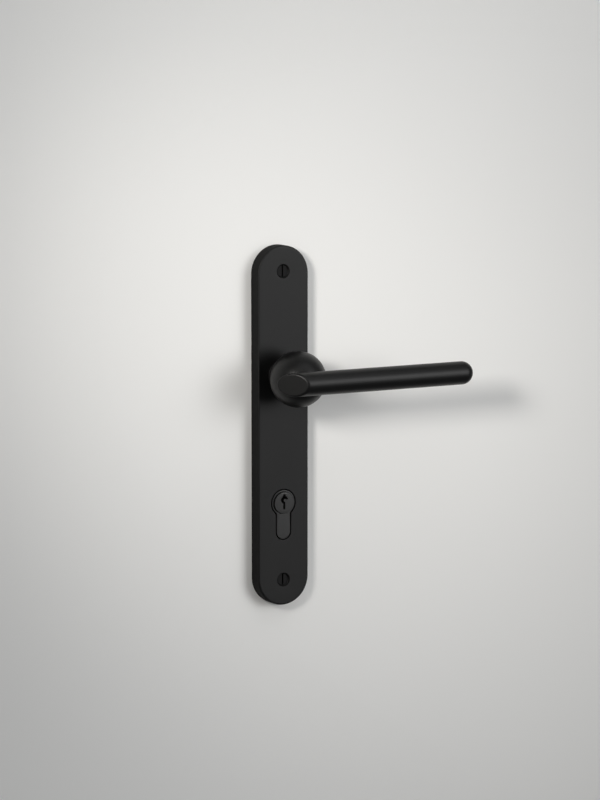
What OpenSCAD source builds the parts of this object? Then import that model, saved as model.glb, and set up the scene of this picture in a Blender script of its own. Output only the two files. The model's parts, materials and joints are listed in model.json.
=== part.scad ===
// Lever handle lockset for a hinged door: two handle sets on long plates, an 8 mm
// spindle, a euro profile cylinder and a mortice lock, placed as in a closed door.
// Millimetres. +X runs from the lock's forend towards the tip of the levers, +Y from
// the outside of the door to the inside, +Z is up. The origin is on the spindle's
// axis, on the outside face of the door.

/* [Door] */

// thickness of the door between the two plates
door_t = 38; // [36:1:45]

/* [Plates] */

// height of a plate
plate_h = 240; // [230:1:250]
// width of a plate, which is also the diameter of its round ends
plate_w = 37.5; // [34:0.5:44]
// thickness of a plate
plate_t = 10; // [10:0.5:12]
// distance from the spindle down to the middle of a plate
plate_drop = 34; // [30:1:38]
// rounding of a plate's front edge
plate_edge = 1.2; // [0.5:0.1:2]
// height of the upper fixing screw above the spindle
screw_up = 69; // [60:1:74]
// depth of the lower fixing screw below the spindle
screw_down = 137; // [128:1:142]

/* [Levers] */

// diameter of the ball between plate and bar
ball_d = 37; // [34:0.5:40]
// distance from the door's face to the middle of the ball
ball_out = 30.5; // [30:0.5:36]
// diameter of the bar
bar_d = 15.5; // [14:0.5:18]
// distance from the door's face to the bar's axis
bar_out = 54; // [52:0.5:60]
// distance from the spindle's axis to the bar's round tip
bar_tip = 118; // [100:0.5:140]
// distance from the spindle's axis back to the middle of the slanted end
bar_back = 16.8; // [12:0.1:18]
// angle between the slanted end and the bar's axis
bar_cut = 45; // [30:1:60]

/* [Cylinder] */

// distance from the spindle's axis down to the cylinder's axis
centres = 85; // [70:1:92]
// diameter of the cylinder's round part
cyl_d = 17; // [17:0.5:18]
// width of the cylinder's leg
leg_w = 10; // [10:0.1:10.5]
// height of the whole cylinder profile
cyl_h = 33; // [32:0.5:34]
// diameter of a plug
plug_d = 13; // [12:0.1:13.5]
// diameter of a plug's face
plug_face_d = 14.4; // [14:0.1:15.6]
// how far a plug's face stands out of the plate
plug_proud = 1.2; // [0:0.1:1.5]

/* [Mortice lock] */

// distance from the forend's face to the spindle's axis
backset = 60; // [50:1:65]
// length of the forend
forend_h = 235; // [225:1:240]
// width of the forend
forend_w = 22; // [20:1:24]
// thickness of the forend
forend_t = 3; // [2.5:0.5:3]
// how far the latch stands out of the forend
latch_out = 11; // [9:0.5:12]
// side of the square spindle
spindle_w = 8; // [8:1:9]

/* [Hidden] */

$fn = 64;

// handle set, heights above the door's face
neck_r = 8;
pocket_r = 16;
pocket_h = 7;
collar_z = plate_t + 0.4;
socket_w = spindle_w + 0.1;
socket_end = 30;
grub_z = 20;
stud_z = ball_out + 10;
coil_r = 11.5;
coil_start = -102;
coil_turns = 2.15;
coil_end = coil_start + 360 * coil_turns;

// screws
screw_z = plate_t - 1.3;
screw_head_r = 4.5;
screw_r = 2.5;
nut_head_r = 5.25;
nut_r = 3.6;

// lock, positions across the door
mid_y = door_t / 2;
case_y0 = mid_y - 7.5;
case_y1 = mid_y + 7.5;
cav_y0 = case_y0 + 1.5;
cav_y1 = case_y1 - 1.5;
forend_x = -backset;
case_x0 = forend_x + forend_t;
case_x1 = 30;
case_z0 = -122;
case_z1 = 45;
forend_z = -34.5;
wood_screw_z = 107;
case_screws = [32, -116];
posts = [[-51, 39], [24, 39], [-40, -116], [24, -116]];
latch_z = 18;
latch_x0 = forend_x - latch_out;
bolt_z = -58;

// cylinder
cyl_z = -centres;
leg_end = cyl_z + cyl_d / 2 - cyl_h + leg_w / 2;
bridge_z = leg_end + 4;
gap_y0 = mid_y - 5;
gap_y1 = mid_y + 5;
cyl_screw_z = leg_end - 0.5;
pin_y = [-6, -2, 2, 6, 10];
pin_hole_r = 1.5;
pin_r = 1.45;

black = [0.09, 0.09, 0.09];
satin = [0.14, 0.14, 0.14];
steel = [0.62, 0.62, 0.60];
zinc = [0.70, 0.71, 0.72];
brass = [0.72, 0.56, 0.28];
nylon = [0.86, 0.85, 0.80];
wire_grey = [0.45, 0.46, 0.48];

// ---- placing ----

// local X right, Y up and Z out of the door, from the door's outside face
module on_outside() {
    rotate([90, 0, 0])
        children();
}

// the same on the inside face, mirrored through the middle of the door
module on_inside() {
    translate([0, door_t, 0])
        mirror([0, 1, 0])
            rotate([90, 0, 0])
                children();
}

// an outline in X and Z, made solid from y0 to y1
module slab(y0, y1) {
    translate([0, y1, 0])
        rotate([90, 0, 0])
            linear_extrude(height = y1 - y0)
                children();
}

// an outline in Y and Z, made solid from x0 to x1
module strip(x0, x1) {
    translate([x0, 0, 0])
        rotate([90, 0, 90])
            linear_extrude(height = x1 - x0)
                children();
}

// a round rod along X at height z in the middle of the door
module rod_x(x0, x1, z, r) {
    translate([x0, mid_y, z])
        rotate([0, 90, 0])
            cylinder(r = r, h = x1 - x0);
}

module tube(r1, r2, z0, z1) {
    translate([0, 0, z0])
        difference() {
            cylinder(r = r2, h = z1 - z0);
            translate([0, 0, -1])
                cylinder(r = r1, h = z1 - z0 + 2);
        }
}

// ---- round wire ----

// one ring of a wire: [angle, distance from the axis, height, tilt of the ring]
function wire_ring(p, w, n) = [
    for (k = [0 : n - 1])
        let (b = 360 * k / n, out = p[1] + w * cos(b), side = w * sin(b) * sin(p[3]))
            [out * cos(p[0]) - side * sin(p[0]),
             out * sin(p[0]) + side * cos(p[0]),
             p[2] - w * sin(b) * cos(p[3])]
];

// turns of a coil from height z0 to z1
function coil(r, z0, z1, a0, turns, steps) = [
    for (i = [0 : steps])
        [a0 + 360 * turns * i / steps, r, z0 + (z1 - z0) * i / steps, 0]
];

module wire(path, w, n) {
    last = len(path) - 1;
    points = [for (p = path) each wire_ring(p, w, n)];
    sides = [
        for (i = [0 : last - 1])
            for (k = [0 : n - 1])
                let (a = i * n + k, b = i * n + (k + 1) % n)
                    each [[a, a + n, b + n], [a, b + n, b]]
    ];
    start = [for (k = [0 : n - 1]) k];
    end = [for (k = [n - 1 : -1 : 0]) last * n + k];
    polyhedron(points = points, faces = concat(sides, [start, end]), convexity = 6);
}

// ---- handle set, in the local frame of one side ----

// half outline of a plate: width outwards, thickness up
module plate_half() {
    r = plate_w / 2;
    square([r - plate_edge, plate_t]);
    square([r, plate_t - plate_edge]);
    translate([r - plate_edge, plate_t - plate_edge])
        circle(r = plate_edge);
}

module plate_solid() {
    straight = plate_h - plate_w;
    translate([0, -plate_drop, 0]) {
        translate([0, straight / 2, 0])
            rotate_extrude(angle = 180)
                plate_half();
        translate([0, -straight / 2, 0])
            rotate([0, 0, 180])
                rotate_extrude(angle = 180)
                    plate_half();
        translate([0, straight / 2, 0])
            rotate([90, 0, 0])
                linear_extrude(height = straight) {
                    plate_half();
                    mirror([1, 0])
                        plate_half();
                }
    }
}

module screw_hole(r, head_r) {
    translate([0, 0, -1])
        cylinder(r = r, h = plate_t + 2);
    translate([0, 0, screw_z - head_r + r])
        cylinder(r1 = r, r2 = head_r, h = head_r - r);
    translate([0, 0, screw_z])
        cylinder(r = head_r, h = plate_t);
}

// profile of the cylinder, made larger by g all round
module euro_outline(g) {
    translate([0, cyl_z])
        circle(d = cyl_d + 2 * g);
    translate([0, leg_end])
        circle(d = leg_w + 2 * g);
    translate([-leg_w / 2 - g, leg_end])
        square([leg_w + 2 * g, cyl_z - leg_end]);
}

module plate_shape(hole_r, head_r) {
    difference() {
        plate_solid();
        translate([0, 0, -1])
            cylinder(r = pocket_r, h = pocket_h + 1);
        cylinder(r = 10, h = plate_t + 1);
        rotate([0, 0, coil_end])
            translate([coil_r, 0, pocket_h - 0.5])
                cylinder(r = 0.75, h = 2.1);
        translate([0, screw_up, 0])
            screw_hole(hole_r, head_r);
        translate([0, -screw_down, 0])
            screw_hole(hole_r, head_r);
        translate([0, 0, -1])
            linear_extrude(height = plate_t + 2)
                euro_outline(0.7);
        for (y = [[24, 42], [46, 61], [-42, -22], [-68, -46], [-129, -115]])
            translate([-11.5, y[0], -1])
                cube([23, y[1] - y[0], 8]);
    }
}

module ball_shape() {
    difference() {
        union() {
            translate([0, 0, ball_out])
                sphere(d = ball_d);
            translate([0, 0, collar_z])
                cylinder(r = 9.6, h = 6);
            translate([0, 0, 1.2])
                cylinder(r = neck_r, h = collar_z);
        }
        tube(7.5, 9, 4.9, 5.9);
        for (s = [-1, 1])
            translate([s * 8.75 - 2, -10, 0])
                cube([4, 20, 4.7]);
        translate([-socket_w / 2, -socket_w / 2, 0])
            cube([socket_w, socket_w, socket_end]);
        translate([0, 0, stud_z - 0.1])
            cylinder(r = 3.02, h = 12);
        translate([0, -20, grub_z])
            rotate([-90, 0, 0])
                cylinder(r = 2.52, h = 17);
    }
}

module bar_shape() {
    r = bar_d / 2;
    straight = bar_tip - r + bar_back + 12;
    difference() {
        translate([-bar_back - 12, 0, bar_out])
            rotate([0, 90, 0])
                rotate_extrude() {
                    square([r, straight]);
                    intersection() {
                        translate([0, straight])
                            circle(r = r);
                        square([r, straight + r]);
                    }
                }
        translate([-bar_back, 0, bar_out])
            rotate([0, -bar_cut, 0])
                translate([-30, -15, 0])
                    cube([60, 30, 30]);
        translate([0, 0, ball_out])
            sphere(r = ball_d / 2 + 0.02);
        translate([0, 0, stud_z + 4])
            cylinder(r = 3.02, h = 12.1);
    }
}

module stud_shape() {
    translate([0, 0, stud_z])
        cylinder(r = 3, h = 16);
}

module grub_shape() {
    translate([0, -12.6, grub_z])
        rotate([-90, 0, 0])
            difference() {
                cylinder(r = 2.5, h = 12.6 - spindle_w / 2 - 0.02);
                translate([0, 0, -1])
                    cylinder(r = 1.45, h = 3.6, $fn = 6);
            }
}

module bush_shape() {
    tube(neck_r + 0.06, 9.98, pocket_h, plate_t);
    tube(neck_r + 0.06, 11, plate_t, plate_t + 0.35);
}

module washer_shape() {
    tube(8.1, 10.25, 6, 6.9);
}

module circlip_shape() {
    difference() {
        tube(7.55, 10, 4.95, 5.85);
        translate([-2.5, 5, 4])
            cube([5, 6, 3]);
        for (s = [-1, 1])
            translate([s * 4.2, 7.7, 4])
                cylinder(r = 0.6, h = 3);
    }
}

module carrier_shape() {
    difference() {
        union() {
            translate([0, 0, 0.9])
                cylinder(r = 10, h = 3.7);
            translate([-1.5, -13.2, 0.9])
                cube([3, 5, 1]);
        }
        difference() {
            cylinder(r = neck_r + 0.05, h = 6);
            for (s = [-1, 1])
                translate([s * 8.8 - 2, -10, -1])
                    cube([4, 20, 8]);
        }
    }
}

module return_spring_shape() {
    lower = [[coil_start, coil_r, 1.1, 90], [coil_start, coil_r, 2.2, 90],
             [coil_start + 1.5, coil_r, 2.6, 45]];
    upper = [[coil_end - 1.5, coil_r, 5.9, 45], [coil_end, coil_r, 6.4, 90],
             [coil_end, coil_r, 8.4, 90]];
    turns = coil(coil_r, 2.8, 5.65, coil_start + 5, coil_turns - 10 / 360, 34);
    wire(concat(lower, turns, upper), 0.6, 6);
}

module spring_housing_shape() {
    tube(13.5, 15.9, 0.2, 6.8);
    tube(6.5, 14, 0.2, 0.8);
}

// a slotted countersunk head and its shank, from z0 up to the head's top
module slotted_screw(r, head_r, z0, slot_w) {
    difference() {
        union() {
            translate([0, 0, z0])
                cylinder(r = r, h = screw_z - head_r + r - z0);
            translate([0, 0, screw_z - head_r + r])
                cylinder(r1 = r, r2 = head_r, h = head_r - r);
        }
        translate([-slot_w / 2, -head_r - 1, screw_z - 1.1])
            cube([slot_w, 2 * head_r + 2, 2]);
    }
}

module plug_shape() {
    translate([0, cyl_z, 0])
        difference() {
            union() {
                translate([0, 0, -14.9])
                    cylinder(d = plug_d, h = 24);
                translate([0, 0, plate_t - 2])
                    cylinder(d = plug_face_d, h = 2 + plug_proud);
            }
            tube(5.7, 8, -14.8, -14.1);
            translate([0, 0, -16])
                linear_extrude(height = 30)
                    keyway();
            for (y = pin_y)
                translate([0, -7, -y])
                    rotate([-90, 0, 0])
                        cylinder(r = pin_hole_r, h = 3);
        }
}

// the bent slot for the key
module keyway() {
    translate([-0.8, -4.3])
        square([1.6, 5]);
    translate([-0.7, 4])
        square([1.7, 1.9]);
    difference() {
        translate([0.15, 2.2])
            circle(r = 2.6);
        translate([0.6, 1.8])
            circle(r = 1);
        translate([0.8, -1])
            square([3, 3.2]);
    }
}

module plug_clip_shape() {
    translate([0, cyl_z, 0])
        difference() {
            tube(5.75, 7.7, -14.75, -14.15);
            translate([-2, 3, -16])
                cube([4, 6, 3]);
        }
}

module key_pins_shape() {
    for (y = pin_y)
        translate([0, cyl_z - 6.3, -y])
            rotate([-90, 0, 0]) {
                cylinder(r = pin_r, h = 1.7);
                translate([0, 0, 1.7])
                    cylinder(r1 = pin_r, r2 = 0.6, h = 0.7);
            }
}

// ---- nodes of the outside handle set ----

module outside_plate() {
    color(black)
        on_outside()
            plate_shape(screw_r + 0.25, screw_head_r + 0.15);
}

module outside_ball() {
    color(black)
        on_outside()
            ball_shape();
}

module outside_bar() {
    color(black)
        on_outside()
            bar_shape();
}

module outside_stud() {
    color(steel)
        on_outside()
            stud_shape();
}

module outside_grub_screw() {
    color(satin)
        on_outside()
            grub_shape();
}

module outside_bush() {
    color(nylon)
        on_outside()
            bush_shape();
}

module outside_washer() {
    color(steel)
        on_outside()
            washer_shape();
}

module outside_circlip() {
    color(wire_grey)
        on_outside()
            circlip_shape();
}

module outside_carrier() {
    color(zinc)
        on_outside()
            carrier_shape();
}

module outside_return_spring() {
    color(wire_grey)
        on_outside()
            return_spring_shape();
}

module outside_spring_housing() {
    color(nylon)
        on_outside()
            spring_housing_shape();
}

// ---- nodes of the inside handle set ----

module inside_plate() {
    color(black)
        on_inside()
            plate_shape(nut_r + 0.2, nut_head_r + 0.2);
}

module inside_ball() {
    color(black)
        on_inside()
            ball_shape();
}

module inside_bar() {
    color(black)
        on_inside()
            bar_shape();
}

module inside_stud() {
    color(steel)
        on_inside()
            stud_shape();
}

module inside_grub_screw() {
    color(satin)
        on_inside()
            grub_shape();
}

module inside_bush() {
    color(nylon)
        on_inside()
            bush_shape();
}

module inside_washer() {
    color(steel)
        on_inside()
            washer_shape();
}

module inside_circlip() {
    color(wire_grey)
        on_inside()
            circlip_shape();
}

module inside_carrier() {
    color(zinc)
        on_inside()
            carrier_shape();
}

module inside_return_spring() {
    color(wire_grey)
        on_inside()
            return_spring_shape();
}

module inside_spring_housing() {
    color(nylon)
        on_inside()
            spring_housing_shape();
}

// ---- spindle and fixings ----

module spindle() {
    color(steel)
        translate([-spindle_w / 2, -28, -spindle_w / 2])
            cube([spindle_w, door_t + 56, spindle_w]);
}

module fixing_screws() {
    color(black)
        on_outside()
            for (y = [screw_up, -screw_down])
                translate([0, y, 0])
                    slotted_screw(screw_r, screw_head_r, -30, 1.1);
}

module sleeve_nuts() {
    color(black)
        on_inside()
            for (y = [screw_up, -screw_down])
                translate([0, y, 0])
                    difference() {
                        slotted_screw(nut_r, nut_head_r, -24, 1.3);
                        translate([0, 0, -25])
                            cylinder(r = screw_r + 0.05, h = 30);
                    }
}

// ---- lock case ----

module case() {
    color(zinc)
        difference() {
            union() {
                difference() {
                    translate([case_x0, cav_y0, case_z0])
                        cube([case_x1 - case_x0, case_y1 - cav_y0, case_z1 - case_z0]);
                    translate([case_x0 + 2, cav_y0 - 1, case_z0 + 2])
                        cube([case_x1 - case_x0 - 4, cav_y1 - cav_y0 + 1, case_z1 - case_z0 - 4]);
                }
                for (p = posts)
                    slab(cav_y0, cav_y1 + 0.5)
                        translate(p)
                            circle(r = 3.5);
                for (z = case_screws)
                    translate([case_x0 + 1, mid_y - 4, z - 4])
                        cube([9, 10.5, 8]);
                translate([11, mid_y - 4, -47])
                    cube([6, 10.5, 4]);
            }
            for (p = posts)
                slab(cav_y0 - 1, cav_y1 - 2)
                    translate(p)
                        circle(r = 1.5);
            for (z = case_screws)
                rod_x(case_x0 - 1, case_x0 + 9, z, 2.02);
            rod_x(case_x0 - 1, case_x0 + 3, cyl_screw_z, screw_r + 0.2);
            rod_x(case_x1 - 3, case_x1 + 1, latch_z, 2.02);
            latch_hole(case_x0 - 1, case_x0 + 3);
            bolt_hole(case_x0 - 1, case_x0 + 3);
            slab(cav_y1 - 1, case_y1 + 1)
                euro_outline(0.2);
            slab(cav_y1 - 1, case_y1 + 1)
                circle(r = 8.05);
            slab(cav_y1 - 1, case_y1 + 1)
                translate([5, bolt_z])
                    circle(r = 2.52);
        }
}

module latch_hole(x0, x1) {
    translate([x0, cav_y0, latch_z - 9.2])
        cube([x1 - x0, cav_y1 - cav_y0, 18.4]);
}

module bolt_hole(x0, x1) {
    translate([x0, cav_y0, bolt_z - 14.2])
        cube([x1 - x0, cav_y1 - cav_y0, 28.4]);
}

module case_cover() {
    color(zinc)
        difference() {
            translate([case_x0, case_y0, case_z0])
                cube([case_x1 - case_x0, cav_y0 - case_y0, case_z1 - case_z0]);
            slab(case_y0 - 1, cav_y0 + 1)
                euro_outline(0.2);
            slab(case_y0 - 1, cav_y0 + 1)
                circle(r = 8.05);
            for (p = posts) {
                slab(case_y0 - 1, cav_y0 + 1)
                    translate(p)
                        circle(r = 1.6);
                translate([p[0], case_y0 - 0.1, p[1]])
                    rotate([-90, 0, 0])
                        cylinder(r1 = 2.9, r2 = 1.6, h = 1.3);
            }
        }
}

module cover_screws() {
    color(zinc)
        for (p = posts)
            translate([p[0], case_y0 + 0.1, p[1]])
                rotate([-90, 0, 0])
                    difference() {
                        union() {
                            cylinder(r1 = 2.6, r2 = 1.45, h = 1.15);
                            cylinder(r = 1.45, h = 9.5);
                        }
                        translate([-3, -0.3, -1])
                            cube([6, 0.6, 1.6]);
                    }
}

// ---- forend ----

module forend_outline() {
    half = (forend_h - forend_w) / 2;
    translate([mid_y - forend_w / 2, forend_z - half])
        square([forend_w, 2 * half]);
    translate([mid_y, forend_z + half])
        circle(d = forend_w);
    translate([mid_y, forend_z - half])
        circle(d = forend_w);
}

// a countersunk hole through the forend
module forend_hole(z, r, head_r) {
    rod_x(forend_x - 1, case_x0 + 1, z, r);
    translate([forend_x, mid_y, z])
        rotate([0, 90, 0])
            cylinder(r1 = head_r, r2 = r, h = head_r - r);
}

module forend() {
    color(steel)
        difference() {
            strip(forend_x, case_x0)
                forend_outline();
            latch_hole(forend_x - 1, case_x0 + 1);
            bolt_hole(forend_x - 1, case_x0 + 1);
            for (s = [-1, 1])
                forend_hole(forend_z + s * wood_screw_z, 2.5, 4.4);
            for (z = case_screws)
                forend_hole(z, 2.2, 4.1);
            forend_hole(cyl_screw_z, screw_r + 0.2, 4.7);
        }
}

// a slotted countersunk screw pointing along +X out of the forend
module forend_screw(z, r, head_r, length) {
    translate([forend_x + 0.2, mid_y, z])
        rotate([0, 90, 0])
            difference() {
                union() {
                    cylinder(r1 = head_r, r2 = r, h = head_r - r);
                    cylinder(r = r, h = length);
                }
                translate([-0.5, -6, -1])
                    cube([1, 12, 1.9]);
            }
}

module forend_screws() {
    color(steel)
        for (z = case_screws)
            forend_screw(z, 2, 3.8, 11);
}

// ---- latch ----

module follower() {
    color(brass)
        difference() {
            union() {
                slab(cav_y0 + 0.2, cav_y1 - 0.2)
                    circle(r = 10.5);
                slab(case_y0 + 0.2, case_y1 - 0.2)
                    circle(r = 8);
                slab(mid_y - 3, mid_y + 3) {
                    translate([-3, 0])
                        square([6, 15]);
                    translate([0, 15])
                        circle(r = 3);
                }
            }
            slab(case_y0 - 1, case_y1 + 1)
                translate([-socket_w / 2, -socket_w / 2])
                    square(socket_w);
        }
}

module yoke() {
    color(steel)
        difference() {
            union() {
                for (y = [mid_y - 4.8, mid_y + 3.3])
                    translate([-22, y, 12])
                        cube([31, 1.5, 12]);
                translate([-22, mid_y - 4.8, 12])
                    cube([2, 9.6, 12]);
                translate([3.65, mid_y - 4, 11])
                    cube([5.35, 8, 11]);
            }
            rod_x(-23, -19, latch_z, 3.1);
            rod_x(5.4, 10, latch_z, 2.3);
        }
}

module yoke_spring() {
    color(wire_grey)
        translate([0, mid_y, latch_z])
            rotate([0, 90, 0])
                wire(coil(3.2, 9.45, 27.5, 0, 7, 84), 0.4, 6);
}

module yoke_guide_pin() {
    color(steel)
        rod_x(17, case_x1, latch_z, 2);
}

module latch_bolt() {
    color(steel) {
        translate([0, 0, latch_z - 9])
            linear_extrude(height = 18)
                polygon([[latch_x0, cav_y1 - 0.2], [latch_x0, cav_y1 - 3.2],
                         [forend_x - 0.5, cav_y0 + 0.2], [-39, cav_y0 + 0.2],
                         [-39, cav_y1 - 0.2]]);
        rod_x(-40, -17.5, latch_z, 3);
    }
}

module latch_retainer() {
    color(steel)
        difference() {
            translate([-19.5, mid_y - 3.1, latch_z - 5])
                cube([1.2, 6.2, 10]);
            rod_x(-21, -17, latch_z, 3.02);
        }
}

module latch_spring() {
    color(wire_grey)
        translate([0, mid_y, latch_z])
            rotate([0, 90, 0])
                wire(coil(4.2, -38.55, -22.45, 0, 6, 84), 0.4, 6);
}

// ---- deadbolt ----

module deadbolt() {
    color(steel) {
        translate([forend_x, cav_y0 + 0.2, bolt_z - 14])
            cube([28, cav_y1 - cav_y0 - 0.4, 28]);
        slab(mid_y - 2.5, mid_y + 2.5)
            difference() {
                union() {
                    translate([-33, bolt_z - 8])
                        square([58, 16]);
                    translate([-8.6, bolt_z - 17])
                        square([5, 12]);
                    translate([17.6, bolt_z - 17])
                        square([5, 12]);
                }
                translate([5, bolt_z])
                    circle(r = 2.6);
                translate([19, bolt_z])
                    circle(r = 2.6);
                translate([5, bolt_z - 2.6])
                    square([14, 5.2]);
                for (x = [-10, 4])
                    translate([x, bolt_z + 8])
                        polygon([[-2.4, 1], [-0.8, -1.2], [0.8, -1.2], [2.4, 1]]);
            }
    }
}

module bolt_guide_pin() {
    color(steel)
        slab(cav_y0 + 0.1, case_y1)
            translate([5, bolt_z])
                circle(r = 2.5);
}

module bolt_detent_spring() {
    color(wire_grey)
        slab(mid_y - 2, mid_y + 2)
            polygon([[17, -47.7], [17, -47.1], [9, -47.1], [-8.4, -49.1], [-9.7, -50.4],
                     [-10.3, -50.4], [-13.6, -47.1], [-14.2, -47.5], [-10.5, -51],
                     [-9.5, -51], [-8.1, -49.7], [9, -47.7]]);
}

// ---- cylinder ----

module cylinder_body() {
    color(satin)
        difference() {
            slab(-plate_t, door_t + plate_t)
                euro_outline(0);
            translate([-15, gap_y0, bridge_z])
                cube([30, gap_y1 - gap_y0, 40]);
            rod_x(-8, 8, cyl_screw_z, screw_r + 0.02);
            on_outside()
                plug_room();
            on_inside()
                plug_room();
        }
}

// the space for a plug and its pins
module plug_room() {
    translate([0, cyl_z, -gap_y0 - 1])
        cylinder(d = plug_d + 0.06, h = gap_y0 + plate_t + 2);
    translate([0, cyl_z, plate_t - 2.05])
        cylinder(d = plug_face_d + 0.1, h = 3);
    for (y = pin_y)
        translate([0, cyl_z - cyl_h, -y])
            rotate([-90, 0, 0])
                cylinder(r = pin_hole_r, h = cyl_h);
}

module cylinder_screw() {
    color(steel)
        forend_screw(cyl_screw_z, screw_r, 4.4, backset + 4);
}

module outside_plug() {
    color(satin)
        on_outside()
            plug_shape();
}

module outside_plug_clip() {
    color(wire_grey)
        on_outside()
            plug_clip_shape();
}

module outside_key_pins() {
    color(brass)
        on_outside()
            key_pins_shape();
}

module inside_plug() {
    color(satin)
        on_inside()
            plug_shape();
}

module inside_plug_clip() {
    color(wire_grey)
        on_inside()
            plug_clip_shape();
}

module inside_key_pins() {
    color(brass)
        on_inside()
            key_pins_shape();
}

// something repeated below every pin of both plugs
module at_chambers(z) {
    for (y = concat(pin_y, [for (y = pin_y) door_t - y]))
        translate([0, y, z])
            children();
}

module driver_pins() {
    color(steel)
        at_chambers(cyl_z - 12)
            cylinder(r = pin_r, h = 5.35);
}

module pin_springs() {
    color(wire_grey)
        at_chambers(0)
            wire(coil(1.1, cyl_z - 21.75, cyl_z - 12.25, 0, 4, 28), 0.2, 4);
}

module chamber_plugs() {
    color(brass)
        at_chambers(cyl_z - 24.2)
            cylinder(r = pin_hole_r - 0.01, h = 2.2);
}

module cam() {
    color(steel)
        slab(mid_y - 3.9, mid_y + 3.9)
            translate([0, cyl_z])
                difference() {
                    union() {
                        circle(r = 8);
                        translate([-4, -14.8])
                            square([8, 14.8]);
                    }
                    circle(r = 4.5);
                }
}

module clutch() {
    color(brass)
        difference() {
            slab(mid_y - 4, mid_y + 4)
                translate([0, cyl_z])
                    circle(r = 4.45);
            for (y = [mid_y - 5, mid_y + 2.5])
                translate([-1, y, cyl_z - 6])
                    cube([2, 2.5, 12]);
        }
}

outside_plate();
outside_ball();
outside_bar();
outside_stud();
outside_grub_screw();
outside_bush();
outside_washer();
outside_circlip();
outside_carrier();
outside_return_spring();
outside_spring_housing();
inside_plate();
inside_ball();
inside_bar();
inside_stud();
inside_grub_screw();
inside_bush();
inside_washer();
inside_circlip();
inside_carrier();
inside_return_spring();
inside_spring_housing();
spindle();
fixing_screws();
sleeve_nuts();
case();
case_cover();
cover_screws();
forend();
forend_screws();
follower();
yoke();
yoke_spring();
yoke_guide_pin();
latch_bolt();
latch_retainer();
latch_spring();
deadbolt();
bolt_guide_pin();
bolt_detent_spring();
cylinder_body();
cylinder_screw();
outside_plug();
outside_plug_clip();
outside_key_pins();
inside_plug();
inside_plug_clip();
inside_key_pins();
driver_pins();
pin_springs();
chamber_plugs();
cam();
clutch();
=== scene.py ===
import bpy
import bmesh
import json
import math
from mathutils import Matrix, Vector


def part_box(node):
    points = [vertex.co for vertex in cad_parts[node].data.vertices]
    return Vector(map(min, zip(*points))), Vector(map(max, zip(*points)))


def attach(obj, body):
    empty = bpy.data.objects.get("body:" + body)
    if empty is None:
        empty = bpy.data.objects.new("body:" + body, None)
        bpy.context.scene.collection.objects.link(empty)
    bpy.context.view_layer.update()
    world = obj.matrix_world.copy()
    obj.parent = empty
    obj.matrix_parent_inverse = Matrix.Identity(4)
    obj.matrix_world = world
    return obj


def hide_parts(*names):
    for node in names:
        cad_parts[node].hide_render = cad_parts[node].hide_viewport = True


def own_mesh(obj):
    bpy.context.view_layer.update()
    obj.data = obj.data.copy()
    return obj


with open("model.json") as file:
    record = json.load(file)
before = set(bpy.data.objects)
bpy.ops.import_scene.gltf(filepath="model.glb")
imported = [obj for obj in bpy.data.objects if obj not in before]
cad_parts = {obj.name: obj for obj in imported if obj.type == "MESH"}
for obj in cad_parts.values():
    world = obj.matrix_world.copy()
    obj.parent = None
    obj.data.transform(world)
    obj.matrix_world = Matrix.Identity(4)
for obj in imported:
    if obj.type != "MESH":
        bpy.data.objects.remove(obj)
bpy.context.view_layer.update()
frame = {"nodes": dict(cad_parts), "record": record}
nodes = frame["nodes"]
MM = 0.001
scene = bpy.context.scene


# ---------------------------------------------------------------- measures, in millimetres
def span(node):
    """The low and high corners of a CAD node's box."""
    lo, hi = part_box(node)
    return [v / MM for v in lo], [v / MM for v in hi]


plate_lo, plate_hi = span("outside_plate")
inner_lo, _ = span("inside_plate")
ball_lo, ball_hi = span("outside_ball")
bar_lo, bar_hi = span("outside_bar")
body_lo, _ = span("cylinder_body")
plug_lo, plug_hi = span("outside_plug")
screw_lo, screw_hi = span("fixing_screws")
fore_lo, fore_hi = span("forend")
case_lo, case_hi = span("case")
cover_lo, cover_hi = span("case_cover")
latch_lo, latch_hi = span("latch_bolt")
bolt_lo, bolt_hi = span("deadbolt")

# plates, with the hollows in their backs
PLATE_T = -plate_lo[1]
PLATE_W = plate_hi[0] - plate_lo[0]
PLATE_H = plate_hi[2] - plate_lo[2]
PLATE_Z = (plate_hi[2] + plate_lo[2]) / 2
POCKET_R = 16.0
POCKET_DEPTH = 7.0
EDGE_R = 1.2
DOOR = inner_lo[1]
MID = DOOR / 2

# levers
BAR_R = (bar_hi[2] - bar_lo[2]) / 2
BAR_OUT = -(bar_lo[1] + bar_hi[1]) / 2
STUD_HOLE_R = 3.02      # the hole for the bar's stud takes away the ball's outermost point
BALL_R = (ball_hi[2] - ball_lo[2]) / 2
BALL_OUT = -ball_lo[1] - math.sqrt(BALL_R ** 2 - STUD_HOLE_R ** 2)
NECK_R = 8.0
NECK_INNER_Z = 1.2
COLLAR_R = 9.6
COLLAR = PLATE_T + 0.4
BUSH_R = 9.98
BUSH_RIM_R = 11.0
COIL_R = 11.5

# cylinder
EURO_R = 8.5
LEG_R = 5.0
EURO_GAP = 0.7
PROUD = -plug_lo[1]
FACE_R = (plug_hi[0] - plug_lo[0]) / 2
PLUG_R = 6.5
PLUG_END = -14.9
HALF_END = -14.0
CYL_Z = (plug_lo[2] + plug_hi[2]) / 2
LEG_END = body_lo[2] + LEG_R
CYL_SCREW_Z = LEG_END - 0.5

# screws between the plates
HEAD_TOP = PLATE_T - 1.3
SCREW_HEAD_R = 4.5
SCREWS = (screw_hi[2] - SCREW_HEAD_R, screw_lo[2] + SCREW_HEAD_R)

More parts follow.
